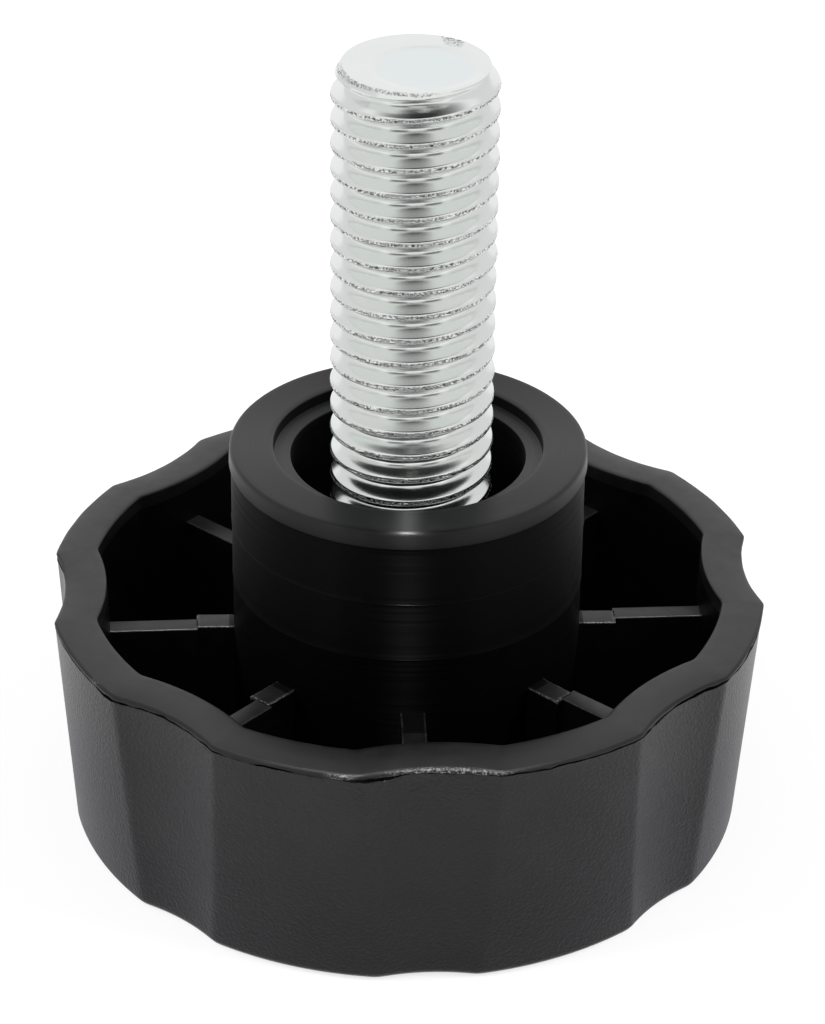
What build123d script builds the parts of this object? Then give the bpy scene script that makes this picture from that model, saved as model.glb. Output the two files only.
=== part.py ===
from build123d import *
import os
from math import atan, cos, degrees, radians, tan

# A fluted hand knob moulded in plastic round the head of a steel screw, which stands out of its hub as a stud.
# Lengths are millimetres and angles are degrees. Z is the screw's axis, pointing to the screw's tip, and the
# crown's flat face lies on z = 0. One flute is centred on the X axis.

# Screw, a standard hexagon head with its thread running nearly up to the head
thread_dia = 8.0
blank_dia = 7.2             # plain run-out under the head, as thick as the wire the thread was rolled from
runout_length = 3.0
screw_length = 30.0         # from under the head to the tip
head_across_flats = 13.0
head_height = 5.3
head_chamfer_angle = 30.0   # slope of the cone that takes the corners off the head's end
tip_dia = 7.1               # the first turn tapers down to this at the tip
tip_taper = 0.9
tip_cup_dia = 5.1           # shallow cup that thread rolling leaves in the tip
tip_cup_depth = 0.25
stud_projection = 20.0      # from the hub's face to the tip

# Skirt, a drafted cup with shallow flutes that get shallower towards the crown
flute_count = 8
skirt_height = 12.45
rim_dia = 35.55             # across the lobes
skirt_draft = 4.1           # slope of the lobes, which narrow towards the crown
flute_radius = 10.5
rim_flute_depth = 0.82
crown_flute_depth = 0.43
skirt_wall = 2.05           # at the rim
cavity_draft = 1.5
crown_thickness = 2.5
lobe_edge_radius = 0.5
crown_edge_radius = 0.5     # the rim's edge stays sharp, because the two halves of the mould part there

# Hub, with a lip round its face, a thicker foot and a socket that leaves the stud clear
hub_height = 20.0
hub_dia = 17.35
hub_lip_dia = 17.55
hub_lip_height = 0.9
hub_lip_radius = 0.2
hub_foot_dia = 17.75
hub_foot_drop = 7.1         # from the hub's face down to the top of the foot
counterbore_dia = 13.2
counterbore_depth = 0.6
socket_dia = 11.5

# Ribs, one behind each flute, in two stretches that stand slightly out of line where two mould inserts met
rib_drop = 10.1             # from the hub's face down to the top of the ribs
rib_thickness = 1.0
rib_root_thickness = 1.2    # of the stretch beside the hub
rib_split_radius = 10.5     # where the two stretches meet
rib_root_turn = -1.8
rib_lap = 0.1               # how far one stretch reaches into the other

overrun = 1.0               # how far a cutting tool reaches past what it cuts

# Places that follow from the sizes above
rim_radius = rim_dia / 2
crown_radius = rim_radius - skirt_height * tan(radians(skirt_draft))
rim_flute_floor = rim_radius - rim_flute_depth
crown_flute_floor = crown_radius - crown_flute_depth
flute_lean = degrees(atan((rim_flute_floor - crown_flute_floor) / skirt_height))
tip_height = hub_height + stud_projection
head_seat_height = tip_height - screw_length
rib_top = hub_height - rib_drop
floor_middle = crown_thickness / 2
around_axis = PolarLocations(0, flute_count)
upright = (Align.CENTER, Align.CENTER, Align.MIN)
outward = (Align.MIN, Align.CENTER, Align.MIN)


def turned(*points):
    """A solid of revolution about Z, from the corners of its half section as radius and height."""
    section = make_face(Polyline(*[(radius, 0, height) for radius, height in points], close=True))
    return revolve(section, Axis.Z)


def round_bars(radius, floor_radius, floor_height, lean):
    """A ring of leaning round bars whose innermost lines pass the axis at floor_radius at floor_height."""
    bar_length = 2 * (skirt_height + overrun)
    bar = Cylinder(radius, bar_length, rotation=(0, lean, 0))
    return around_axis * (Pos(floor_radius + radius, 0, floor_height) * bar)


def fluted_skirt():
    """The outside of the cup as one solid: a cone with flutes, its lobe edges and its crown edge rounded."""
    cone = turned((0, 0), (crown_radius, 0), (rim_radius, skirt_height), (0, skirt_height))
    skirt = cone - round_bars(flute_radius, crown_flute_floor, 0, flute_lean)
    skirt = fillet(skirt.edges().filter_by(is_lobe_edge), lobe_edge_radius)
    return fillet(skirt.faces().sort_by(Axis.Z)[0].edges(), crown_edge_radius)


def is_lobe_edge(edge):
    """True for the edges between a flute and a lobe, which run the whole height of the skirt."""
    return edge.bounding_box().size.Z > skirt_height / 2


def cavity():
    """The hollow of the cup: the skirt's outline drawn in by the wall, narrowing towards the crown."""
    mouth_radius = rim_radius - skirt_wall
    depth = skirt_height - crown_thickness
    narrowing = tan(radians(cavity_draft))
    floor_radius = mouth_radius - depth * narrowing
    over_radius = mouth_radius + overrun * narrowing
    over_height = skirt_height + overrun
    cone = turned((0, crown_thickness), (floor_radius, crown_thickness), (over_radius, over_height), (0, over_height))
    return cone - round_bars(flute_radius + skirt_wall, rim_flute_floor - skirt_wall, skirt_height, cavity_draft)


def hub():
    """The hub before its socket is cut, standing in the crown's thickness."""
    lip_underside = hub_height - hub_lip_height
    foot_top = hub_height - hub_foot_drop
    post = turned(
        (0, floor_middle),
        (hub_foot_dia / 2, floor_middle),
        (hub_foot_dia / 2, foot_top),
        (hub_dia / 2, foot_top),
        (hub_dia / 2, lip_underside),
        (hub_lip_dia / 2, lip_underside),
        (hub_lip_dia / 2, hub_height),
        (0, hub_height),
    )
    return fillet(post.faces().sort_by(Axis.Z)[-1].edges(), hub_lip_radius)


def ribs():
    """Every rib's outer stretch, rooted in the middle of the skirt's wall, and its stretch beside the hub."""
    height = rib_top - floor_middle
    reach = rim_flute_floor - skirt_wall / 2
    start = rib_split_radius - rib_lap
    outer = Pos(start, 0, floor_middle) * Box(reach - start, rib_thickness, height, align=outward)
    root_start = hub_dia / 2 - rib_root_thickness
    root_box = Box(rib_split_radius - root_start, rib_root_thickness, height, align=outward)
    root = Rot(0, 0, rib_root_turn) * Pos(root_start, 0, floor_middle) * root_box
    return around_axis * outer + around_axis * root


def socket():
    """The counterbore in the hub's face and the clear hole below it, down to the screw's head."""
    ledge = hub_height - counterbore_depth
    counterbore = Pos(0, 0, ledge) * Cylinder(counterbore_dia / 2, counterbore_depth + overrun, align=upright)
    clear_hole = Cylinder(socket_dia / 2, ledge + overrun - head_seat_height, align=upright)
    return counterbore + Pos(0, 0, head_seat_height) * clear_hole


def threaded_stud():
    """The screw, with its thread as a plain round of the thread's outside diameter."""
    thread_start = head_seat_height + runout_length
    cup_floor = tip_height - tip_cup_depth
    shank = turned(
        (0, head_seat_height),
        (blank_dia / 2, head_seat_height),
        (blank_dia / 2, thread_start),
        (thread_dia / 2, thread_start),
        (thread_dia / 2, tip_height - tip_taper),
        (tip_dia / 2, tip_height),
        (tip_cup_dia / 2, tip_height),
        (tip_cup_dia / 2, cup_floor),
        (0, cup_floor),
    )
    return screw_head() + shank


def screw_head():
    """A hexagon with its corners taken off by a cone at the end that faces the crown."""
    flat_radius = head_across_flats / 2
    corner_radius = flat_radius / cos(radians(30))
    end_height = head_seat_height - head_height
    chamfer_rise = (corner_radius - flat_radius) * tan(radians(head_chamfer_angle))
    hexagon = Pos(0, 0, end_height) * extrude(RegularPolygon(flat_radius, 6, major_radius=False), head_height)
    blunt = turned(
        (0, end_height),
        (flat_radius, end_height),
        (corner_radius, end_height + chamfer_rise),
        (corner_radius, head_seat_height),
        (0, head_seat_height),
    )
    return hexagon & blunt


def knob_body(stud):
    """The whole moulding, shaped round the screw's head."""
    return fluted_skirt() - cavity() + hub() + ribs() - socket() - stud


os.makedirs("parts", exist_ok=True)
screw = threaded_stud()
export_step(knob_body(screw), "parts/knob_body.step")
export_step(screw, "parts/threaded_stud.step")
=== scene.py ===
import math

import bmesh
import bpy
import numpy as np
from mathutils import Matrix, Vector


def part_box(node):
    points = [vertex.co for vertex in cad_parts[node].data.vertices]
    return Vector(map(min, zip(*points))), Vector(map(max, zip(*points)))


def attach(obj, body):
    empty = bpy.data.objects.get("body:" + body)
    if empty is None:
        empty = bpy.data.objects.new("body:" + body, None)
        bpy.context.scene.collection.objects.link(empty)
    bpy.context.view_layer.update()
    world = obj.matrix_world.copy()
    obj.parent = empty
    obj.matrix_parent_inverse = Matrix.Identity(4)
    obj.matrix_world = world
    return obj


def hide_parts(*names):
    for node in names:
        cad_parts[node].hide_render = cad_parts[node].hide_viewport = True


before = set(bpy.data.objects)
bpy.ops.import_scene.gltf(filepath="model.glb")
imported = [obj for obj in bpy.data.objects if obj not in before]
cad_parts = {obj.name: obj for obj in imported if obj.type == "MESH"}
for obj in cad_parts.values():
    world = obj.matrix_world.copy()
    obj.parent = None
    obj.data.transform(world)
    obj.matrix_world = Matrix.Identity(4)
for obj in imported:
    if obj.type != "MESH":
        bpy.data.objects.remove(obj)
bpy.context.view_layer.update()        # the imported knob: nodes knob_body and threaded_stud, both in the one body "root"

mm = 0.001               # shapes are worked out in millimetres and go into the meshes in metres
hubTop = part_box("knob_body")[1].z / mm
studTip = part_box("threaded_stud")[1].z / mm
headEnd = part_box("threaded_stud")[0].z / mm
print("frame loaded:", sorted(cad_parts), "hub top", round(hubTop, 2), "tip", round(studTip, 2))


# Helpers for meshes

rippleSwing = 1.6                 # sines seldom peak together, so their sum is stretched to fill -1 to 1
mergeDistance = 0.0004 * mm       # points closer than this become one
thinDistance = 0.0002 * mm        # faces thinner than this go


def smoothMin(a, b, width):
    # the smaller of two surfaces, with the corner between them rounded over about this width
    t = np.clip(0.5 + 0.5 * (b - a) / width, 0, 1)
    return b * (1 - t) + a * t - width * t * (1 - t)


def ripple(angle, waves, seed):
    # a wavy line round the axis, between about -1 and 1: a sum of sines with these numbers of waves to the
    # turn, whose phases and sizes come from the seed
    rng = np.random.default_rng(seed)
    counts = np.asarray(waves)
    phases = rng.uniform(0, 2 * math.pi, len(counts))
    sizes = rng.uniform(0.5, 1.0, len(counts))
    total = (sizes * np.sin(angle[..., None] * counts + phases)).sum(-1)
    return total / sizes.sum() * rippleSwing


def stretches(angle, places):
    # flat-topped humps round the axis, each with its middle and half width in degrees and its height:
    # height times exp(-(distance / half width)^4), and where two overlap the higher one counts
    degrees = np.degrees(angle)
    total = np.zeros_like(degrees)
    for middle, width, amount in places:
        away = (degrees - middle + 180) % 360 - 180
        total = np.maximum(total, amount * np.exp(-(away / width) ** 4))
    return total


def steps(start, end, count):
    # even steps from start to end, without the start itself
    return np.linspace(start, end, count + 1)[1:]


def column(values):
    return np.asarray(values, float)[:, None]


def polarPoints(radius, angle, height):
    # points this far from the axis, this far round it and this high
    radius, angle, height = np.broadcast_arrays(radius, angle, height)
    return np.stack([radius * np.cos(angle), radius * np.sin(angle), height], -1)


def meshFromGrid(name, points, stripSlots, attributes):
    # grids of rows x columns of points with a face between each four neighbours; each strip between two rows
    # has its material slot, and the last column lies on the first
    rows, columns = points.shape[-3:-1]
    index = np.arange(points.size // 3).reshape(-1, rows, columns)
    corners = [index[:, :-1, :-1], index[:, :-1, 1:], index[:, 1:, 1:], index[:, 1:, :-1]]
    quads = np.stack(corners, -1).reshape(-1, 4)
    slots = np.tile(np.repeat(stripSlots, columns - 1), len(index))
    mesh = bpy.data.meshes.new(name)
    mesh.from_pydata((points.reshape(-1, 3) * mm).tolist(), [], quads.tolist())
    mesh.polygons.foreach_set("material_index", slots.astype(np.int32))
    mesh.polygons.foreach_set("use_smooth", np.ones(len(quads), bool))
    for key, values in attributes.items():
        layer = mesh.attributes.new(key, "FLOAT", "POINT")
        layer.data.foreach_set("value", np.broadcast_to(values, points.shape[:-1]).astype(np.float32).ravel())
    return mesh


def closeMesh(mesh, sharpDegrees):
    # merges the seam and the poles, drops faces that have no area and turns all faces outwards
    work = bmesh.new()
    work.from_mesh(mesh)
    bmesh.ops.remove_doubles(work, verts=work.verts, dist=mergeDistance)
    bmesh.ops.dissolve_degenerate(work, edges=work.edges, dist=thinDistance)
    bmesh.ops.recalc_face_normals(work, faces=work.faces)
    if work.calc_volume(signed=True) < 0:
        bmesh.ops.reverse_faces(work, faces=work.faces)
    work.to_mesh(mesh)
    work.free()
    mesh.set_sharp_from_angle(angle=math.radians(sharpDegrees))


def addPiece(mesh, node, materials):
    for material in materials:
        mesh.materials.append(material)
    piece = bpy.data.objects.new(mesh.name, mesh)
    bpy.context.scene.collection.objects.link(piece)
    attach(piece, "root")
    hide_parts(node)
    print(mesh.name, "made with", len(mesh.polygons), "faces")
    return piece


# Helpers for materials

plasticIor = 1.49                               # polypropylene
fromSockets = ("From Min", "From Max")      # of a node that maps one range to another
toSockets = ("To Min", "To Max")


def linear(hexCode):
    # an sRGB hex colour as linear light
    values = [int(hexCode[i:i + 2], 16) / 255 for i in (1, 3, 5)]
    return [v / 12.92 if v <= 0.04045 else ((v + 0.055) / 1.055) ** 2.4 for v in values] + [1.0]


def addNode(tree, kind, inputs=None, links=None, **settings):
    node = tree.nodes.new("ShaderNode" + kind)
    for key, value in settings.items():
        setattr(node, key, value)
    for socket, value in (inputs or {}).items():
        node.inputs[socket].default_value = value
    for socket, source in (links or {}).items():
        tree.links.new(source, node.inputs[socket])
    return node


def newMaterial(name):
    material = bpy.data.materials.new(name)
    material.use_nodes = True
    tree = material.node_tree
    tree.nodes.clear()
    return material, tree


def perMm(size):
    # texture scale whose features are about this many millimetres across, on Object coordinates in metres
    return 1 / (size * mm)


# Black polypropylene moulded against a spark-eroded wall: an even, matt grain whose peaks grey the black.
# The real grain is finer. It is drawn this coarse so that it shows in the render.

grainLook = {
    "colour": "#040405", "peakColour": "#0d0d0e", "roughness": 0.30,
    "grainMm": 0.17, "blotchMm": 3.5,
    "peakRange": (0.8, 1.25),     # where the sum of grain and blotches goes from black to grey
    "bumpMm": 0.06,
}


def grainPlastic(look):
    material, tree = newMaterial("polypropylene_spark_eroded")
    place = addNode(tree, "TexCoord").outputs["Object"]
    grain = addNode(tree, "TexNoise",
                    {"Scale": perMm(look["grainMm"]), "Detail": 2, "Roughness": 0.6}, {"Vector": place})
    blotch = addNode(tree, "TexNoise",
                     {"Scale": perMm(look["blotchMm"]), "Detail": 4}, {"Vector": place})
    peaks = addNode(tree, "Math", links={0: grain.outputs["Fac"], 1: blotch.outputs["Fac"]},
                    operation="ADD")
    speck = addNode(tree, "MapRange", dict(zip(fromSockets, look["peakRange"])),
                    {"Value": peaks.outputs["Value"]})
    shade = addNode(tree, "Mix", {"A": linear(look["colour"]), "B": linear(look["peakColour"])},
                    {"Factor": speck.outputs["Result"]}, data_type="RGBA")
    bump = addNode(tree, "Bump", {"Strength": 1.0, "Distance": look["bumpMm"] * mm},
                   {"Height": grain.outputs["Fac"]})
    skin = addNode(tree, "BsdfPrincipled", {"Roughness": look["roughness"], "IOR": plasticIor},
                   {"Base Color": shade.outputs["Result"], "Normal": bump.outputs["Normal"]})
    addNode(tree, "OutputMaterial", links={"Surface": skin.outputs["BSDF"]})
    return material


# The same plastic against the smooth core: blacker, with a soft sheen, and whitened where flash was torn off;
# the ribs' pale edges take the same white, partly as a painted highlight

coreLook = {
    "colour": "#020203", "tornColour": "#8a8a8a", "gloss": 0.60,
    "roughness": (0.38, 0.49), "scuffMm": 0.9, "scuffRange": (0.3, 0.7),  # faint scuffs vary the sheen
    "tornMm": 0.11, "flakeRange": (0.46, 0.66), "flakeRise": 6.0,      # torn flash stands up in flakes
    "bump": 0.12, "bumpMm": 0.02,
}
edgeLook = dict(coreLook, gloss=0.40)      # painted shade: a less glossy copy that holds back the lamp's highlight on the rim's edge
deepLook = dict(coreLook, gloss=0.18)      # painted shade: a copy with far less gloss, so the pockets stay black


def corePlastic(name, look):
    material, tree = newMaterial(name)
    place = addNode(tree, "TexCoord").outputs["Object"]
    # torn flash on the rim, and the ribs' pale edges, which are partly painted highlight
    torn = addNode(tree, "Attribute", attribute_name="torn", attribute_type="GEOMETRY")
    scuff = addNode(tree, "TexNoise",
                    {"Scale": perMm(look["scuffMm"]), "Detail": 6, "Roughness": 0.65}, {"Vector": place})
    shred = addNode(tree, "TexNoise",
                    {"Scale": perMm(look["tornMm"]), "Detail": 3, "Roughness": 0.7}, {"Vector": place})
    flake = addNode(tree, "MapRange", dict(zip(fromSockets, look["flakeRange"])),
                    {"Value": shred.outputs["Fac"]})
    white = addNode(tree, "Math", links={0: torn.outputs["Fac"], 1: flake.outputs["Result"]},
                    operation="MULTIPLY").outputs["Value"]
    shade = addNode(tree, "Mix", {"A": linear(look["colour"]), "B": linear(look["tornColour"])},
                    {"Factor": white}, data_type="RGBA")
    rough = addNode(tree, "MapRange",
                    dict(zip(fromSockets + toSockets, look["scuffRange"] + look["roughness"])),
                    {"Value": scuff.outputs["Fac"]})
    raised = addNode(tree, "Math", {1: look["flakeRise"]}, {0: white, 2: scuff.outputs["Fac"]},
                     operation="MULTIPLY_ADD")
    bump = addNode(tree, "Bump", {"Strength": look["bump"], "Distance": look["bumpMm"] * mm},
                   {"Height": raised.outputs["Value"]})
    skin = addNode(tree, "BsdfPrincipled", {"IOR": plasticIor, "Specular IOR Level": look["gloss"]},
                   {"Base Color": shade.outputs["Result"], "Roughness": rough.outputs["Result"],
                    "Normal": bump.outputs["Normal"]})
    addNode(tree, "OutputMaterial", links={"Surface": skin.outputs["BSDF"]})
    return material


# The hub's plastic, moulded against turned steel: its rings draw each light out into a line across them,
# finely on the face and its lip, and more coarsely on the wall. The wall is a copy with far less gloss and
# the
# foot one with less still: painted shade, darker down the hub.
# The real rings are finer. They are drawn this far apart so that their streaks show.

turnedLook = {
    "colour": "#020203", "stretch": 1.0, "turn": 0.25,     # a quarter turn: the stretch lies across the rings
    "ringRange": (0.35, 0.65), "driftMm": 5, "wanderMm": 0.12,
}
faceLook = dict(turnedLook, roughness=(0.30, 0.34), gloss=0.42, ringMm=0.13)
wallLook = dict(turnedLook, roughness=(0.32, 0.46), gloss=0.085, ringMm=0.16)
# painted shade: below the step the foot is darker still
footLook = dict(wallLook, gloss=0.04)


def turnedPlastic(name, look):
    material, tree = newMaterial(name)
    path = addNode(tree, "Attribute", attribute_name="path", attribute_type="GEOMETRY")
    place = addNode(tree, "TexCoord").outputs["Object"]
    drift = addNode(tree, "TexNoise",
                    {"Scale": perMm(look["driftMm"]), "Detail": 1}, {"Vector": place})
    wander = addNode(tree, "Math", {1: look["wanderMm"]},
                     {0: drift.outputs["Fac"], 2: path.outputs["Fac"]}, operation="MULTIPLY_ADD")
    rings = addNode(tree, "TexNoise", {"Scale": 1 / look["ringMm"], "Detail": 1},
                    {"W": wander.outputs["Value"]}, noise_dimensions="1D")
    rough = addNode(tree, "MapRange",
                    dict(zip(fromSockets + toSockets, look["ringRange"] + look["roughness"])),
                    {"Value": rings.outputs["Fac"]})
    around = addNode(tree, "Tangent", direction_type="RADIAL", axis="Z")
    skin = addNode(tree, "BsdfPrincipled",
                   {"Base Color": linear(look["colour"]), "IOR": plasticIor,
                    "Specular IOR Level": look["gloss"],
                    "Anisotropic": look["stretch"], "Anisotropic Rotation": look["turn"]},
                   {"Roughness": rough.outputs["Result"], "Tangent": around.outputs["Tangent"]})
    addNode(tree, "OutputMaterial", links={"Surface": skin.outputs["BSDF"]})
    return material


# Bright zinc plate on a rolled steel thread: mirror-like flanks, and a torn, rough, darker seam on each crest

zincLook = {
    "colour": "#e8eae8", "cloudColour": "#e2e6e4", "filmColour": "#e0e6e7", "pitColour": "#5c5e5e",
    "roughness": (0.17, 0.45),     # of the plate, and of the seam's pits
    "cloudMm": 1.6, "seamMm": 0.12, "pitRange": (0.48, 0.66), "pitDepthMm": 0.08,
}


def zincPlate(look):
    material, tree = newMaterial("steel_bright_zinc")
    place = addNode(tree, "TexCoord").outputs["Object"]
    crest = addNode(tree, "Attribute", attribute_name="crest", attribute_type="GEOMETRY")
    film = addNode(tree, "Attribute", attribute_name="film", attribute_type="GEOMETRY")
    cloud = addNode(tree, "TexNoise",
                    {"Scale": perMm(look["cloudMm"]), "Detail": 3}, {"Vector": place})
    tear = addNode(tree, "TexNoise",
                   {"Scale": perMm(look["seamMm"]), "Detail": 3, "Roughness": 0.65}, {"Vector": place})
    plate = addNode(tree, "Mix", {"A": linear(look["colour"]), "B": linear(look["cloudColour"])},
                    {"Factor": cloud.outputs["Fac"]}, data_type="RGBA")
    filmed = addNode(tree, "Mix", {"B": linear(look["filmColour"])},
                     {"Factor": film.outputs["Fac"], "A": plate.outputs["Result"]}, data_type="RGBA")
    ragged = addNode(tree, "MapRange", dict(zip(fromSockets, look["pitRange"])),
                     {"Value": tear.outputs["Fac"]})
    pit = addNode(tree, "Math", links={0: crest.outputs["Fac"], 1: ragged.outputs["Result"]},
                  operation="MULTIPLY").outputs["Value"]
    shade = addNode(tree, "Mix", {"B": linear(look["pitColour"])},
                    {"Factor": pit, "A": filmed.outputs["Result"]}, data_type="RGBA")
    rough = addNode(tree, "MapRange", dict(zip(toSockets, look["roughness"])), {"Value": pit})
    bump = addNode(tree, "Bump", {"Strength": 1.0, "Distance": look["pitDepthMm"] * mm},
                   {"Height": pit}, invert=True)
    skin = addNode(tree, "BsdfPrincipled", {"Metallic": 1.0},
                   {"Base Color": shade.outputs["Result"], "Roughness": rough.outputs["Result"],
                    "Normal": bump.outputs["Normal"]})
    addNode(tree, "OutputMaterial", links={"Surface": skin.outputs["BSDF"]})
    return material


bodySkins = {
    "grain": grainPlastic(grainLook),
    "core": corePlastic("polypropylene_core_side", coreLook),
    "face": turnedPlastic("polypropylene_turned_face", faceLook),
    "wall": turnedPlastic("polypropylene_turned_wall", wallLook),
    "deep": corePlastic("polypropylene_deep_painted_shade", deepLook),
    "foot": turnedPlastic("polypropylene_turned_foot", footLook),
    "edge": corePlastic("polypropylene_edge_painted_shade", edgeLook),
}
zincSkin = zincPlate(zincLook)
print("materials made")


# Knob moulding: one profile carried round the axis, its outline fluted on the skirt and round on the hub.
# Millimetres and degrees; rows are the steps of the mesh along each part of the profile.

skirt = {
    "flutes": 8, "height": 12.45, "rimRadius": 17.775, "draft": 4.1,
    "fluteRadius": 10.5, "rimFluteDepth": 0.82, "crownFluteDepth": 0.43, "lobeRound": 0.12,
    "wall": 2.05, "cavityDraft": 1.5, "crownThickness": 2.5, "crownEdge": 0.5, "pocketCorner": 0.6,
    "rimEdge": 0.22, "rimTurn": (12, 76),     # rounding of the rim's outer edge, and the angles it spans
    "rimCrown": 0.12, "rimCrownShare": 0.7,   # the rim's top falls by this to its edge, over this share of it
    "innerEdge": 0.15,
    "fluteColumns": 14, "lobeColumns": 12,    # across half a flute and half a lobe
    "discRows": 9, "crownEdgeRows": 6, "wallRows": 27, "rimEdgeRows": 7, "rimTopRows": 7, "innerEdgeRows": 4,
    "pocketRows": 15, "cornerRows": 4, "floorRows": 7,
}
crownRadius = skirt["rimRadius"] - skirt["height"] * math.tan(math.radians(skirt["draft"]))

parting = {
    "drop": 0.45,      # the parting line lies this far below the rim
    "sag": 0.05, "fineSag": 0.025,      # how far it wanders up and down, in long and in short waves
    "burr": 0.02,      # the grain's last edge stands out by this
    "creviceDepth": 0.16,      # deepest the gap goes in under the rim's edge
    "creviceShares": (0.45, 0.7, 0.05),      # its usual depth, how much that varies, and the least
    "mouth": 0.085, "mouthSway": 0.05,       # how wide the gap stands open, and how much that varies
    "creviceRise": (0.2, 0.85),      # its two inner rows, as shares of the mouth
    "lipReach": 0.03,      # how far the rim's edge stands out over the grain
    "lipShares": (0.8, 1.0), "lipRise": (0.01, 0.045),     # its two rows: share of that reach, and height
    # stretches round the rim: middle and half width in degrees, then how torn, or the drop in millimetres
    "flash": [(-87.3, 8.5, 1.0), (-103.5, 1.8, 0.9), (-150.5, 1.2, 0.4), (60, 5, 0.6), (110, 3, 0.5)],
    "tornReach": 0.07, "jagReach": 0.05, "jagSag": 0.04, "tornRise": 0.5,  # what torn flash adds to the edge
    "tornFade": (0.3, 1, 1, 1, 1, 1, 1, 0.9, 0.6, 0.3, 0.1, 0),    # its whitening, row by row up the edge
    "gapes": [(-99, 3.6, 0.15), (-146, 4.5, 0.11), (-51, 3.5, 0.09), (-39, 6, 0.07), (-22, 9, 0.12),
              (35, 6, 0.1), (170, 7, 0.1)],  # stretches where the grain draws back below the line
    "gapeWaves": ((43, 71, 103, 139), 9), "gapeSway": 0.45, "gapeDrop": (0.8, 0.0), "gapeDepth": 1.2,
    "shadedEdgeRows": 9,      # the first rows past the line take the edge's painted shade
}
partingWaves = {                             # waves to the turn, and a seed
    "jag": ((97, 131, 163, 181, 211), 11),
    "crevice": ((5, 9, 14, 23, 37, 61), 3),
    "lip": ((7, 13, 21, 33, 57), 4),
    "sag": ((3, 7, 12, 19, 31), 5),
    "fineSag": ((47, 71, 103, 139), 8),
    "mouth": ((11, 19, 29, 43, 71, 109), 6),
}

# shares of the way across a sector: a flute from -1 to 1, closer together near its edges, and two half lobes
halfSector = math.pi / skirt["flutes"]
fluteShares = np.sin(steps(0, math.pi / 2, skirt["fluteColumns"]))
lobeShares = 2 - np.cos(steps(0, math.pi / 2, skirt["lobeColumns"]))
halfShares = np.concatenate([fluteShares, lobeShares])
sectorShares = np.concatenate([-halfShares[::-1], [0.0], halfShares[:-1]])
sectorStarts = np.arange(skirt["flutes"]) * 2 * halfSector
allShares = np.append(np.tile(sectorShares, skirt["flutes"]), -2.0)
allStarts = np.append(np.repeat(sectorStarts, len(sectorShares)), 2 * math.pi)


def fromFlute(edgeAngle):
    # angle from the flute's middle: shares up to 1 span the flute, shares from 1 to 2 the rest of the lobe
    side, size = np.sign(allShares), np.abs(allShares)
    return side * np.where(size <= 1, size * edgeAngle, edgeAngle + (size - 1) * (halfSector - edgeAngle))


def flutedOutline(lobeRadius, floorRadius, fluteRadius):
    # a circle with round hollows: the hollow's circle in polar form, c cos a - sqrt(f^2 - c^2 sin^2 a)
    centre = floorRadius + fluteRadius
    edgeAngle = np.arccos((centre ** 2 + lobeRadius ** 2 - fluteRadius ** 2) / (2 * centre * lobeRadius))
    angle = fromFlute(edgeAngle)
    inside = np.maximum(fluteRadius ** 2 - (centre * np.sin(angle)) ** 2, 0)
    hollow = centre * np.cos(angle) - np.sqrt(inside)
    return smoothMin(lobeRadius, hollow, skirt["lobeRound"]), allStarts + angle


def outerOutline(height):
    # the skirt's outside: lobe radius and flute depth change evenly from the crown to the rim
    share = height / skirt["height"]
    lobe = crownRadius + (skirt["rimRadius"] - crownRadius) * share
    depth = skirt["crownFluteDepth"] + (skirt["rimFluteDepth"] - skirt["crownFluteDepth"]) * share
    return flutedOutline(lobe, lobe - depth, skirt["fluteRadius"])


def innerOutline(height):
    # the cavity's wall: the rim's outline drawn in by the wall, and further in by the draft below the rim
    narrowing = (skirt["height"] - height) * math.tan(math.radians(skirt["cavityDraft"]))
    lobe = skirt["rimRadius"] - skirt["wall"] - narrowing
    return flutedOutline(lobe, lobe - skirt["rimFluteDepth"], skirt["fluteRadius"] + skirt["wall"])


def gape(angle):
    # how far the grain draws back below the parting line: a few short stretches with a ragged edge
    ragged = 1 + parting["gapeSway"] * ripple(angle, *parting["gapeWaves"])
    return ragged * stretches(angle, parting["gapes"])


def skirtOutside():
    # crown disc, quarter circle at the crown's edge, drafted wall up to the parting line
    edge = skirt["crownEdge"]
    edgeRadius, edgeAngle = outerOutline(column([edge]))
    disc = polarPoints(column(np.linspace(0, 1, skirt["discRows"])) * (edgeRadius - edge), edgeAngle, 0.0)
    turn = column(np.radians(steps(-90, 0, skirt["crownEdgeRows"])))
    rounding = polarPoints(edgeRadius - edge + edge * np.cos(turn), edgeAngle, edge + edge * np.sin(turn))
    height = column(steps(edge, skirt["height"] - parting["drop"], skirt["wallRows"]))
    radius, angle = outerOutline(height)
    wall = polarPoints(radius, angle, height)
    wall[-1, :, 2] -= gape(angle[-1])
    return np.concatenate([disc, rounding, wall])


def partingLine(outer, angle, torn, drop):
    # the grain's last edge, two rows inside a narrow crevice and two rows of the rim's lip over it: the
    # outline's radius and the line's height, each moved by wavy lines of its own
    waves = {name: ripple(angle, *wave) for name, wave in partingWaves.items()}
    jag = torn * waves["jag"]
    usual, varies, least = parting["creviceShares"]
    gap = parting["creviceDepth"] * np.clip(usual + varies * waves["crevice"], least, 1)
    gap = gap + parting["gapeDepth"] * drop
    reach = parting["lipReach"] * (1 + waves["lip"]) + parting["tornReach"] * torn + parting["jagReach"] * jag
    sag = parting["sag"] * waves["sag"] + parting["fineSag"] * waves["fineSag"] + parting["jagSag"] * jag
    mouth = parting["mouth"] + parting["mouthSway"] * waves["mouth"]
    line = skirt["height"] - parting["drop"] + sag
    burr = polarPoints(outer + parting["burr"], angle, line - drop)
    inside = line + mouth * column(parting["creviceRise"]) - drop * column(parting["gapeDrop"])
    crevice = polarPoints(outer - gap, angle, inside)
    lip = polarPoints(outer + reach * column(parting["lipShares"]), angle,
                      line + mouth + column(parting["lipRise"]))
    return np.concatenate([burr, crevice, lip]), reach


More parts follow.
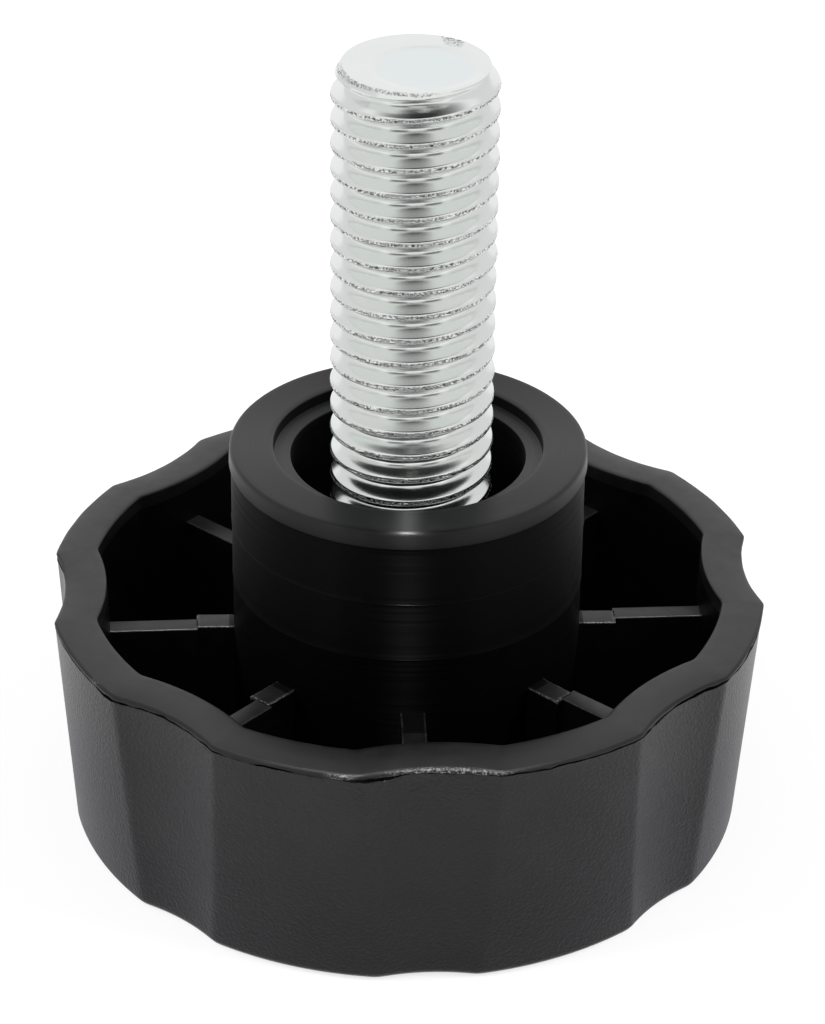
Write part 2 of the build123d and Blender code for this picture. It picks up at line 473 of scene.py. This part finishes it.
def rim():
    # the parting line, the rounded outer edge, the slightly crowned top, the quarter circle at the inner edge
    outer, angle = outerOutline(column([skirt["height"] - parting["drop"]]))
    torn = stretches(angle, parting["flash"])       # 1 where the flash along the parting line is torn
    under, reach = partingLine(outer, angle, torn, gape(angle))

    edge, crown, (first, last) = skirt["rimEdge"], skirt["rimCrown"], skirt["rimTurn"]
    top, topAngle = outerOutline(column([skirt["height"]]))
    turn = column(np.radians(steps(first, last, skirt["rimEdgeRows"])))
    fade = (1 - np.sin(turn)) * (reach + parting["burr"])       # the lip's reach dies out up the rounding
    shoulder = skirt["height"] - crown - edge * math.sin(math.radians(last))
    rounding = polarPoints(top - edge + edge * np.cos(turn) + fade, topAngle,
                           shoulder + edge * np.sin(turn) + parting["tornRise"] * torn * fade)

    inner, innerAngle = innerOutline(column([skirt["height"]]))
    inEdge = skirt["innerEdge"]
    startRadius = top - edge + edge * math.cos(math.radians(last))
    endRadius = inner + inEdge
    share = column(steps(0, 1, skirt["rimTopRows"]))
    crowned = skirt["height"] - crown * np.maximum(1 - share / skirt["rimCrownShare"], 0) ** 2
    flat = polarPoints(startRadius + (endRadius - startRadius) * share,
                       topAngle + (innerAngle - topAngle) * share, crowned)
    turn = column(np.radians(steps(90, 180, skirt["innerEdgeRows"])))
    inward = polarPoints(endRadius + inEdge * np.cos(turn), innerAngle,
                         skirt["height"] - inEdge + inEdge * np.sin(turn))
    return np.concatenate([under, rounding, flat, inward]), torn * column(parting["tornFade"])


def pocket():
    # the cavity's wall, a quarter circle, the floor, and a quarter circle up to the foot of the hub
    corner, floor = skirt["pocketCorner"], skirt["crownThickness"]
    height = column(steps(skirt["height"] - skirt["innerEdge"], floor + corner, skirt["pocketRows"]))
    radius, angle = innerOutline(height)
    wall = polarPoints(radius, angle, height)
    low, lowAngle = innerOutline(column([floor + corner]))
    start, end = low - corner, hub["footRadius"] + corner
    turn = column(np.radians(steps(0, -90, skirt["cornerRows"])))
    outerCorner = polarPoints(start + corner * np.cos(turn), lowAngle, floor + corner + corner * np.sin(turn))
    flat = polarPoints(start + (end - start) * column(steps(0, 1, skirt["floorRows"])), lowAngle, floor)
    turn = column(np.radians(steps(-90, -180, skirt["cornerRows"])))
    hubCorner = polarPoints(end + corner * np.cos(turn), lowAngle, floor + corner + corner * np.sin(turn))
    return np.concatenate([wall, outerCorner, flat, hubCorner]), lowAngle


hub = {
    "radius": 8.675, "lipRadius": 8.775, "lipHeight": 0.9, "lipEdge": 0.2, "lipTaper": 0.03,
    "footRadius": 8.655, "footDrop": 7.1, "witnessDrop": 4.0,
    "counterboreRadius": 6.6, "counterboreDepth": 0.6, "socketRadius": 5.75,
    "tierShift": 0.015, "footShift": 0.015,       # the mould's inserts for the lower tiers stood to one side
    # where straight stretches start and end: the foot at a height, and else up or down from a corner
    "footRun": (3.4, -0.02), "tierRun": (0.3, -0.06), "topRun": (0.3, -0.5), "socketRun": -0.5,
    "footRows": 12, "tierRows": 6, "lipRows": 6, "faceRows": 8, "socketRows": 10,
    # small forms, as millimetres out and up from the corner of the profile that each one sits on
    "footRidge": [(0, -0.015), (0.03, 0)],
    "witnessRidge": [(0, -0.03), (0.03, -0.01)],
    "aboveRidge": [(0, 0.02)],
    "neck": [(0, -0.24), (0.035, -0.22), (0.04, -0.02)],
    "lipFoot": [(-0.02, 0), (0, 0.08)],
    "boreEdge": [(0.06, 0), (0.02, -0.02), (0, -0.06)],
    "ledgeCorner": [(0, 0.1), (-0.03, 0.03), (-0.1, 0)],
    "socketEdge": [(0.08, 0), (0.02, -0.02), (0, -0.08)],
}


def hubSection():
    # radius, height and sideways shift along the hub: foot, two tiers parted by fine ridges, lip, face,
    # counterbore and socket, down to the seat of the screw's head
    step = hubTop - hub["footDrop"]
    line = hubTop - hub["witnessDrop"]
    lipBase = hubTop - hub["lipHeight"]
    ledge = hubTop - hub["counterboreDepth"]
    foot, wall, lip, edge = hub["footRadius"], hub["radius"], hub["lipRadius"], hub["lipEdge"]
    bore, socket = hub["counterboreRadius"], hub["socketRadius"]
    footX, tierX = hub["footShift"], hub["tierShift"]
    roundMiddle = lip - hub["lipTaper"] - edge
    lipTurn = np.radians(np.linspace(0, 90, hub["lipRows"]))
    faceRadii = np.linspace(roundMiddle, bore + hub["boreEdge"][0][0], hub["faceRows"] + 1)[1:-1]

    def straight(radius, low, high, count, shift=0):
        return [(radius, height, shift) for height in np.linspace(low, high, count)]

    def form(name, radius, height, shift=0):
        return [(radius + out, height + up, shift) for out, up in hub[name]]

    points = straight(foot, hub["footRun"][0], step + hub["footRun"][1], hub["footRows"], footX)
    points += form("footRidge", foot, step, footX) + form("aboveRidge", wall, step, tierX)
    points += straight(wall, step + hub["tierRun"][0], line + hub["tierRun"][1], hub["tierRows"], tierX)
    points += form("witnessRidge", wall, line, tierX) + form("aboveRidge", wall, line)
    points += straight(wall, line + hub["topRun"][0], lipBase + hub["topRun"][1], hub["tierRows"])
    points += form("neck", wall, lipBase) + form("lipFoot", lip, lipBase)
    points += [(roundMiddle + edge * math.cos(a), hubTop - edge + edge * math.sin(a), 0) for a in lipTurn]
    points += [(radius, hubTop, 0) for radius in faceRadii]
    points += form("boreEdge", bore, hubTop) + form("ledgeCorner", bore, ledge)
    points += form("socketEdge", socket, ledge)
    points += straight(socket, ledge + hub["socketRun"], headSeat, hub["socketRows"])
    return np.array(points)


def hexRadius(angle):
    # six flats round the axis: half the width across flats, over the cosine of the angle from a flat's middle
    sixth = math.pi / 3
    return screw["headFlats"] / 2 / np.cos((angle + sixth / 2) % sixth - sixth / 2)


def headPocket(angle):
    # the space that the screw's head fills: out under the plastic, down its six sides, back to the axis
    shares = column([1.0, 1.0, 0.5, 0.0])
    return polarPoints(shares * hexRadius(angle), angle, column([headSeat, headEnd, headEnd, headEnd]))


def hubSkins(section):
    # which skin each strip of the hub has, from its radius and height
    hair, ledgeClear = 0.01, 0.05                   # set a strip clearly on one side of a corner
    radius, height = section[:-1, 0], section[:-1, 1]
    ledge = hubTop - hub["counterboreDepth"]
    outside = radius > hub["socketRadius"] + hair
    inBore = (radius < hub["counterboreRadius"] + hair) & (height > ledge + ledgeClear)
    names = np.full(len(radius), "wall")
    names[outside & (height > hubTop - hub["lipHeight"] - hair)] = "face"
    # the counterbore's wall takes the wall's duller copy: painted shade
    names[inBore] = "wall"
    # below the step, the foot's duller copy: painted shade
    names[outside & (height < hubTop - hub["footDrop"] - hair)] = "foot"
    return names


def knobMoulding():
    # the whole profile from the middle of the crown, up the skirt, over the rim, through the pocket, up the
    # hub and down into it, with each strip's skin
    outside = skirtOutside()
    rimPart, tornRows = rim()
    pocketPart, angle = pocket()
    section = hubSection()
    hubPart = polarPoints(column(section[:, 0]), angle, column(section[:, 1]))
    hubPart[..., 0] += column(section[:, 2])
    points = np.concatenate([outside, rimPart, pocketPart, hubPart, headPocket(angle)])
    rimStart = len(outside)
    pocketStart = rimStart + len(rimPart)
    hubStart = pocketStart + len(pocketPart)
    skins = np.full(len(points) - 1, "grain")
    skins[rimStart:] = "core"                       # past the parting line it is core side
    # the rim's edge rows are the less glossy copy: painted shade against the lamp's highlight
    skins[rimStart:rimStart + parting["shadedEdgeRows"]] = "edge"
    # the pocket takes the painted shade of the duller copy
    skins[pocketStart:] = "deep"
    skins[hubStart:] = "wall"                       # the hub's mould was turned
    skins[hubStart:hubStart + len(section) - 1] = hubSkins(section)
    slots = np.array([list(bodySkins).index(name) for name in skins])
    torn = np.zeros(points.shape[:2])
    torn[rimStart:rimStart + len(tornRows)] = tornRows
    along = np.linalg.norm(np.diff(points[:, 0], axis=0), axis=-1)
    path = column(np.concatenate([[0], np.cumsum(along)]))      # millimetres along the profile
    mesh = meshFromGrid("knob_moulding", points, slots, {"torn": torn, "path": path})
    closeMesh(mesh, sharpDegrees=40)
    return addPiece(mesh, "knob_body", bodySkins.values())


# Ribs, one behind each flute: a rounded box section carried along a radius, in two stretches out of line

ribs = {
    "drop": 10.1, "thickness": 1.0, "rootThickness": 1.2, "rootTurn": -1.8, "edge": 0.1,
    "sunk": 0.4, "lap": 0.05, "rooting": 0.6,     # reach into the floor and hub, each other, the skirt's wall
    "splitRadii": (10.5, 10.5, 10.5, 10.5, 10.5, 10.5, 12.2, 10.5),    # where the two stretches meet
    "outerBurrAndHighlight": (0.07, 0.0), "rootBurrAndHighlight": (0.5, 0.9),       # whitening of the long edges and of the outer end: pale burrs, partly a painted highlight along them
    "burrAndHighlightShares": (1, 1, 1, 1, 1, 1, 0.2, 1),
    "paintedShadeReach": (0.2, 0.2, 0.2, 0.2, 0.2, 0.35, 1.7, 0.35),      # tops take the painted shade this far from the hub
    "topSlope": 0.3,      # faces that look up more than this are tops
    "stations": 12, "endInset": (0.8, 0.97), "edgeRows": 5,
}


def ribStretch(startRadius, endRadius, thickness, turnDegrees, burrsAndHighlights):
    # rounded box: section points round the rib (across, up) at each station along the radius, ends closed
    top, low, edge = hubTop - ribs["drop"], skirt["crownThickness"] - ribs["sunk"], ribs["edge"]
    half = thickness / 2
    corner = np.radians(np.linspace(0, 90, ribs["edgeRows"]))
    right = np.stack([half - edge + edge * np.cos(corner), top - edge + edge * np.sin(corner)], -1)
    left = right[::-1] * [-1, 1]
    loop = np.concatenate([[[half, low]], right, left, [[-half, low]], [[half, low]]])
    middle = np.array([0.0, (top + low) / 2])
    inset = middle + (loop - middle) * ribs["endInset"]
    sections = np.stack([middle + 0 * loop, inset] + [loop] * ribs["stations"] + [inset, middle + 0 * loop])
    stations = np.concatenate([[0, 0], np.linspace(0, 1, ribs["stations"]), [1, 1]])
    start = np.broadcast_to(startRadius, len(sectorStarts))[:, None, None]
    end = np.broadcast_to(endRadius, len(sectorStarts))[:, None, None]
    along = start + (end - start) * column(stations)
    across, up = sections[..., 0], sections[..., 1]
    angles = sectorStarts[:, None, None] + math.radians(turnDegrees)
    x = along * np.cos(angles) - across * np.sin(angles)
    y = along * np.sin(angles) + across * np.cos(angles)
    between, outerEnd = slice(2, -2), -3            # stations with the whole section, and the last of them
    rightEdge, leftEdge, overTop = slice(2, 5), slice(7, 10), slice(2, 10)
    # pale burrs along the edges and the outer end, partly painted highlight
    burr = np.zeros(x.shape)
    burr[:, between, rightEdge] = burrsAndHighlights[0]
    burr[:, between, leftEdge] = burrsAndHighlights[0]
    burr[:, outerEnd, overTop] = burrsAndHighlights[1]
    burr *= np.array(ribs["burrAndHighlightShares"])[:, None, None]
    return np.stack([x, y, np.broadcast_to(up, x.shape)], -1), burr


def cavityRibs():
    # every rib's outer stretch, from the split into the skirt's wall, and its root stretch, from the hub out
    splits = np.array(ribs["splitRadii"])
    wallRadius = skirt["rimRadius"] - skirt["rimFluteDepth"] - skirt["wall"] * ribs["rooting"]
    outer, outerBurrAndHighlight = ribStretch(splits - ribs["lap"], wallRadius, ribs["thickness"], 0, ribs["outerBurrAndHighlight"])
    root, rootBurrAndHighlight = ribStretch(hub["radius"] - ribs["sunk"], splits, ribs["rootThickness"], ribs["rootTurn"],
                                ribs["rootBurrAndHighlight"])
    points, burr = np.concatenate([outer, root]), np.concatenate([outerBurrAndHighlight, rootBurrAndHighlight])
    mesh = meshFromGrid("cavity_ribs", points, np.zeros(points.shape[1] - 1, int), {"torn": burr})
    closeMesh(mesh, sharpDegrees=40)
    middles, normals = np.empty((2, len(mesh.polygons), 3), np.float32)
    mesh.polygons.foreach_get("center", middles.ravel())
    mesh.polygons.foreach_get("normal", normals.ravel())
    around = np.arctan2(middles[:, 1], middles[:, 0])
    sector = np.round(around / (2 * halfSector)).astype(int) % skirt["flutes"]
    fromHub = np.hypot(middles[:, 0], middles[:, 1]) / mm - hub["radius"]
    bright = (normals[:, 2] > ribs["topSlope"]) & (fromHub > np.array(ribs["paintedShadeReach"])[sector])
    slots = np.where(bright, 0, 1)      # sides and feet take the painted shade too
    mesh.polygons.foreach_set("material_index", slots.astype(np.int32))
    return addPiece(mesh, "knob_body", [bodySkins["core"], bodySkins["deep"]])


# Stud: the thread's section carried along a helix, cut by the tip's cone, with the hexagon head below

screw = {
    "radius": 4.0, "pitch": 1.25, "flankAngle": 30, "length": 30.0,
    "blankRadius": 3.6, "runout": 3.0, "runoutTurns": 1.5, "headFlats": 13.0, "headChamfer": 30,
    "start": 0.33,      # where round the stud the thread starts, in turns
    "offCentre": (0.15, -0.01),      # the stud stands this far to one side of the hub's middle
    "landWidth": 0.16, "landSlopes": (0.25, 0.68),  # each crest falls off so at its seam and shoulders
    "crestDrop": 0.005, "rootDepth": 0.70, "rootRound": 0.30,
    "crestWidth": 0.075, "crestWander": 0.02, "crestWear": 0.01,
    "seamWidth": 0.03, "seamDepth": 0.05, "seamGape": 0.5,      # the seam on the crest gapes in places
    "wander": ((11, 17, 29, 43, 58), 21), "gaping": ((31, 47, 83, 121), 22),    # waves, and a seed
    "waveTurns": 7.3,      # turns that those waves are counted over
    "tipRadius": 3.5, "taper": 0.9, "tipRings": (0.05, 0.11),      # rings just inside the tip's edge
    "roughTip": [(55, 10, 1.0), (228, 45, 0.6)], "tipBand": 0.1,       # where its edge is rough, how far down
    "tipBurr": [(55, 9, 0.9)],      # a burr lies over the edge here
    "cupRadius": 2.65, "cupDepth": 0.08, "cupOffset": (0.40, -0.45),   # thread rolling left a cup in the tip
    "cupRings": [(0, 0, 0), (0.05, 0.1, 0), (0.22, 0.6, 0.2), (0.34, 0.9, 0.4), (0.46, 1, 0.6),
                 (1.2, 1, 0.9)],
    "columns": 120, "leadTurns": 2, "spareTurns": 4,
    "crestSteps": (-0.18, -0.16, -0.11, -0.06, -0.025, 0.0, 0.025, 0.06, 0.11, 0.16, 0.18),
    "rootSteps": (0.24, 0.31, 0.38, 0.43, 0.47, 0.51, 0.55, 0.59),
}
headSeat = studTip - screw["length"]


def threadSection():
    # shares of a pitch from the crest, and the depth there: a crest that falls off ever more steeply,
    # straight flanks, round root; then how near the seam and the crest each place is
    pitch, land, (firstSlope, lastSlope) = screw["pitch"], screw["landWidth"], screw["landSlopes"]
    rootSteps = np.array(screw["rootSteps"])
    place = np.concatenate([screw["crestSteps"], rootSteps, [pitch / 2], pitch - rootSteps[::-1]])
    fromCrest = np.minimum(np.abs(place), pitch - place)
    near = np.minimum(fromCrest, land)
    fall = firstSlope * near + (lastSlope - firstSlope) * near ** 2 / (2 * land)
    flank = np.maximum(fromCrest - land, 0) / math.tan(math.radians(screw["flankAngle"]))
    depth = smoothMin(fall + flank, screw["rootDepth"], screw["rootRound"]) + screw["crestDrop"]
    seam = np.exp(-(place / screw["seamWidth"]) ** 2)
    crest = np.exp(-(fromCrest / screw["crestWidth"]) ** 4)
    return place / pitch, depth, seam, crest


def threadRows(angle):
    # the section at every turn, climbing one pitch to the turn: radius less depth, kept inside the tip's cone
    # and blended into the plain blank at the run-out; rows beyond the tip or the head lie on their planes
    pitch, blank = screw["pitch"], screw["blankRadius"]
    turns = int((studTip - headSeat) / pitch) + screw["spareTurns"]
    sectionRows = threadSection()
    share, depth, seam, crest = (column(np.tile(values, turns)) for values in sectionRows)
    turn = column(np.repeat(np.arange(turns), len(sectionRows[0])))
    helix = angle + turn * 2 * math.pi
    wander, gaping = (ripple(helix, np.array(waves) / screw["waveTurns"], seed)
                      for waves, seed in (screw["wander"], screw["gaping"]))
    height = headSeat - pitch * (screw["leadTurns"] - screw["start"])
    height = height + (turn + share) * pitch + pitch * angle / (2 * math.pi)
    height = height + screw["crestWander"] * crest * wander
    radius = screw["radius"] - depth - screw["crestWear"] * crest * (1 + wander)
    radius = radius - screw["seamDepth"] * seam * np.clip(screw["seamGape"] + gaping, 0, 1)
    cone = screw["tipRadius"] + (studTip - height) * (screw["radius"] - screw["tipRadius"]) / screw["taper"]
    threaded = np.clip((height - headSeat - screw["runout"] + pitch) / (screw["runoutTurns"] * pitch), 0, 1)
    radius = blank + (np.minimum(radius, cone) - blank) * threaded
    radius = np.where(height >= studTip, screw["tipRadius"], radius)
    radius = np.where(height <= headSeat, blank, radius)
    worn = np.where(height > studTip - screw["tipBand"], stretches(angle, screw["roughTip"]), crest)
    return polarPoints(radius, angle, np.clip(height, headSeat, studTip)), worn


def tipRows(angle):
    # rings just inside the tip's edge, then rings down into the cup: millimetres in from its edge, share of
    # its depth and share of the bluish film that stayed in it, ending at its middle
    rings = column(screw["tipRadius"] - np.array(screw["tipRings"]))
    edge = polarPoints(rings, angle, studTip)
    inward, sink, film = np.array(screw["cupRings"] + [(screw["cupRadius"], 1, 1)]).T
    cup = polarPoints(column(screw["cupRadius"] - inward), angle, studTip - column(sink) * screw["cupDepth"])
    cup[..., :2] += screw["cupOffset"]
    worn = np.zeros((len(edge) + len(cup), len(angle)))
    worn[0] = stretches(angle, screw["roughTip"])
    worn[1] = stretches(angle, screw["tipBurr"])
    return np.concatenate([edge, cup]), worn, film


def headRows(angle):
    # the end's disc, the cone that takes the corners off, and the six sides up to the seat
    flat, six = screw["headFlats"] / 2, hexRadius(angle)
    chamfer = headEnd + (six - flat) * math.tan(math.radians(screw["headChamfer"]))
    disc = polarPoints(column([0.0, 0.5, 1.0]) * flat, angle, headEnd)
    sides = polarPoints(six, angle, np.stack([chamfer, np.full_like(chamfer, headSeat)]))
    return np.concatenate([disc, sides])


def threadedStud():
    # head, thread and tip as one grid of rings round the axis, shifted to where the stud stands
    angle = np.linspace(0, 2 * math.pi, screw["columns"] + 1)
    head = headRows(angle)
    thread, threadWorn = threadRows(angle)
    tip, tipWorn, cupFilm = tipRows(angle)
    points = np.concatenate([head, thread, tip])
    points[..., :2] += screw["offCentre"]
    crest = np.concatenate([np.zeros(head.shape[:2]), threadWorn, tipWorn])
    film = np.zeros(crest.shape)
    film[-len(cupFilm):] = column(cupFilm)
    slots = np.zeros(len(points) - 1, int)
    mesh = meshFromGrid("threaded_stud_zinc", points, slots, {"crest": crest, "film": film})
    closeMesh(mesh, sharpDegrees=50)
    return addPiece(mesh, "threaded_stud", [zincSkin])


body = knobMoulding()
ribPiece = cavityRibs()
threadedStud()


# Camera, fitted to the photograph: lens and distance from the way the stud narrows, height from the rim

shot = {
    "lens": 129.0, "sensor": 36.0, "distance": 181.2, "aim": (0.25, 0.0, 16.07),     # millimetres
    "elevation": 30.2, "azimuth": -4.34, "roll": 0.73,
    "clip": (0.01, 20),      # metres
}
spin = Matrix.Rotation(math.radians(shot["azimuth"]), 4, "Z")     # turns the lights and cards with the camera


def addCamera():
    lift = math.radians(shot["elevation"])
    back = Vector((0, -math.cos(lift), math.sin(lift)))
    data = bpy.data.cameras.new("camera")
    data.lens, data.sensor_width, data.sensor_fit = shot["lens"], shot["sensor"], "AUTO"
    data.clip_start, data.clip_end = shot["clip"]
    camera = bpy.data.objects.new("camera", data)
    bpy.context.scene.collection.objects.link(camera)
    roll = Matrix.Rotation(math.radians(shot["roll"]), 4, "Z")
    turn = (-back).to_track_quat("-Z", "Y").to_matrix().to_4x4() @ roll
    place = Matrix.Translation((Vector(shot["aim"]) + back * shot["distance"]) * mm)
    camera.matrix_world = spin @ place @ turn
    bpy.context.scene.camera = camera


addCamera()
print("camera made")


# White studio: a soft box on either side, one small lamp above, white surroundings, and cards that only
# reflections see. Places and sizes are metres.

studio = {
    "floorHalf": 1.5, "floorColour": "#f2f2f2",
    "floorGlow": 0.7,      # share of plain white in the floor; the rest takes the shadow
    "fill": 0.45,      # the world's light on the knob
    "aim": (0, 0, 0.02),
    "boxPlace": (0.50, -0.05, 0.30), "boxSize": (0.35, 0.5), "boxWatts": 5.5,
    "lampPlace": (0.0, -0.13, 0.455), "lampSize": (0.012, 0.06), "lampWatts": 1.8,
}
white = (1, 1, 1, 1)


def addLamp(name, place, size, watts):
    data = bpy.data.lights.new(name, "AREA")
    data.shape, data.energy = "RECTANGLE", watts
    data.size, data.size_y = size
    lamp = bpy.data.objects.new(name, data)
    bpy.context.scene.collection.objects.link(lamp)
    look = (Vector(studio["aim"]) - Vector(place)).to_track_quat("-Z", "Y").to_matrix().to_4x4()
    lamp.matrix_world = spin @ Matrix.Translation(place) @ look
    return lamp


def addSheet(name, corners, material, place=(0, 0, 0), deep=1.0):
    mesh = bpy.data.meshes.new(name)
    mesh.from_pydata([Vector(corner) for corner in corners], [], [(0, 1, 2, 3)])
    mesh.materials.append(material)
    sheet = bpy.data.objects.new(name, mesh)
    sheet.matrix_world = spin @ Matrix.Translation(place) @ Matrix.Diagonal((1, deep, 1, 1))
    bpy.context.scene.collection.objects.link(sheet)
    return sheet


def shownWhite(tree):
    # 1 for what the camera sees straight, in a mirror or through glass
    path = addNode(tree, "LightPath")
    mirrored = addNode(tree, "Math", operation="MAXIMUM",
                       links={0: path.outputs["Is Camera Ray"], 1: path.outputs["Is Glossy Ray"]})
    shown = addNode(tree, "Math", operation="MAXIMUM",
                    links={0: mirrored.outputs["Value"], 1: path.outputs["Is Transmission Ray"]})
    return shown.outputs["Value"]


def whiteFloor():
    # white paper that keeps the knob's shadow, and that isn't there from below
    material, tree = newMaterial("paper_floor")
    paper = addNode(tree, "BsdfDiffuse", {"Color": linear(studio["floorColour"])})
    glow = addNode(tree, "Emission", {"Color": white, "Strength": 1.0})
    part = addNode(tree, "Math", {1: studio["floorGlow"]}, {0: shownWhite(tree)},
                   operation="MULTIPLY")
    lit = addNode(tree, "MixShader",
                  links={0: part.outputs["Value"], 1: paper.outputs["BSDF"], 2: glow.outputs["Emission"]})
    under = addNode(tree, "NewGeometry").outputs["Backfacing"]
    clear = addNode(tree, "BsdfTransparent")
    both = addNode(tree, "MixShader",
                   links={0: under, 1: lit.outputs["Shader"], 2: clear.outputs["BSDF"]})
    addNode(tree, "OutputMaterial", links={"Surface": both.outputs["Shader"]})
    return material


def whiteWorld():
    world = bpy.data.worlds.new("white_surroundings")
    world.use_nodes = True
    tree = world.node_tree
    tree.nodes.clear()
    fill = addNode(tree, "Background", {"Color": white, "Strength": studio["fill"]})
    seen = addNode(tree, "Background", {"Color": white, "Strength": 1.0})
    both = addNode(tree, "MixShader",
                   links={0: shownWhite(tree), 1: fill.outputs["Background"], 2: seen.outputs["Background"]})
    addNode(tree, "OutputWorld", links={"Surface": both.outputs["Shader"]})
    bpy.context.scene.world = world


def greyCard(name, greys):
    # greys by the distance from the card's middle, as (millimetres, grey)
    material, tree = newMaterial(name)
    place = addNode(tree, "TexCoord").outputs["Object"]
    away = addNode(tree, "VectorMath", links={0: place}, operation="LENGTH").outputs["Value"]
    reach = greys[-1][0] * mm
    share = addNode(tree, "MapRange", {"From Max": reach}, {"Value": away})
    ramp = addNode(tree, "ValToRGB", links={"Fac": share.outputs["Result"]})
    while len(ramp.color_ramp.elements) < len(greys):
        ramp.color_ramp.elements.new(0.5)
    for element, (distance, grey) in zip(ramp.color_ramp.elements, greys):
        element.position, element.color = distance * mm / reach, linear(grey)
    glow = addNode(tree, "Emission", {"Strength": 1.0}, {"Color": ramp.outputs["Color"]})
    addNode(tree, "OutputMaterial", links={"Surface": glow.outputs["Emission"]})
    return material


def evenGrey(grey):
    # one grey all over, as a ramp too, because a plain colour on the shader renders a little differently
    return [(0, grey), (1000, grey)]


def flatCorners(halfX, halfY, height=0.0):
    plan = [(-halfX, -halfY), (halfX, -halfY), (halfX, halfY), (-halfX, halfY)]
    return [(x, y, height) for x, y in plan]


def frontCorners(halfX, height):
    return [(-halfX, 0, 0), (halfX, 0, 0), (halfX, 0, height), (-halfX, 0, height)]


def sideCorners(x, front, back, height):
    return [(x, front, 0), (x, back, 0), (x, back, height), (x, front, height)]


# the paper close round the knob, grey near it and white beyond: the knob's shadow painted on a card that only
# reflections see
aroundGreys = [(0, "#bcbbbf"), (12, "#cac9cd"), (23, "#d1cfd3"), (34, "#ffffff"), (600, "#ffffff")]
# a dark patch on the paper in front, seen only in reflections: painted shade
patchGreys = [(0, "#303030"), (20, "#505050"), (36, "#a0a0a0"), (41, "#b0b0b0"), (52, "#ffffff"),
              (80, "#ffffff")]
ceilingGreys = [(0, "#242424"), (508, "#242424"), (535, "#a0a0a0"), (570, "#ffffff"), (800, "#ffffff")]
cards = {                                      # corners, greys, place, and stretch from front to back
    "around": (flatCorners(0.42, 0.42, 0.0003), aroundGreys, (0, -0.01, 0), 1.0),
    "patch": (flatCorners(0.052, 0.052, 0.0006), patchGreys, (0, -0.14, 0), 2.2),
    "slot": (frontCorners(0.3, 0.04), evenGrey("#242424"), (0, -0.5, 0), 1.0),
    "beside_left": (frontCorners(0.15, 0.24), evenGrey("#707070"), (-0.26, -0.49, 0), 1.0),
    "beside_right": (frontCorners(0.15, 0.24), evenGrey("#707070"), (0.28, -0.49, 0), 1.0),
    "ceiling": (flatCorners(0.25, 0.25, 0.5), ceilingGreys, (0, -0.1, 0), 2.0),
    "left": (sideCorners(-0.55, -0.35, 0.8, 0.9), evenGrey("#e8e8e8"), (0, 0, 0), 1.0),
    "right": (sideCorners(0.55, -0.35, 0.8, 0.9), evenGrey("#e8e8e8"), (0, 0, 0), 1.0),
}

whiteWorld()
addSheet("floor", flatCorners(studio["floorHalf"], studio["floorHalf"]), whiteFloor())
for name, (corners, greys, place, deep) in cards.items():
    card = addSheet("card_" + name, corners, greyCard("grey_" + name, greys), place, deep)
    card.visible_camera = card.visible_diffuse = card.visible_shadow = False
for name, side in (("softbox_left", -1), ("softbox_right", 1)):
    across, front, up = studio["boxPlace"]
    box = addLamp(name, (across * side, front, up), studio["boxSize"], studio["boxWatts"])
    box.visible_glossy = False                       # the cards stand in for the boxes in reflections
above = addLamp("lamp_above", studio["lampPlace"], studio["lampSize"], studio["lampWatts"])
above.visible_diffuse = False                        # it only draws highlights,
moulding = bpy.data.collections.new("moulding")      # and only on the plastic
for piece in (body, ribPiece):
    moulding.objects.link(piece)
above.light_linking.receiver_collection = moulding

bpy.context.scene.view_settings.view_transform = "Standard"
print("studio made")
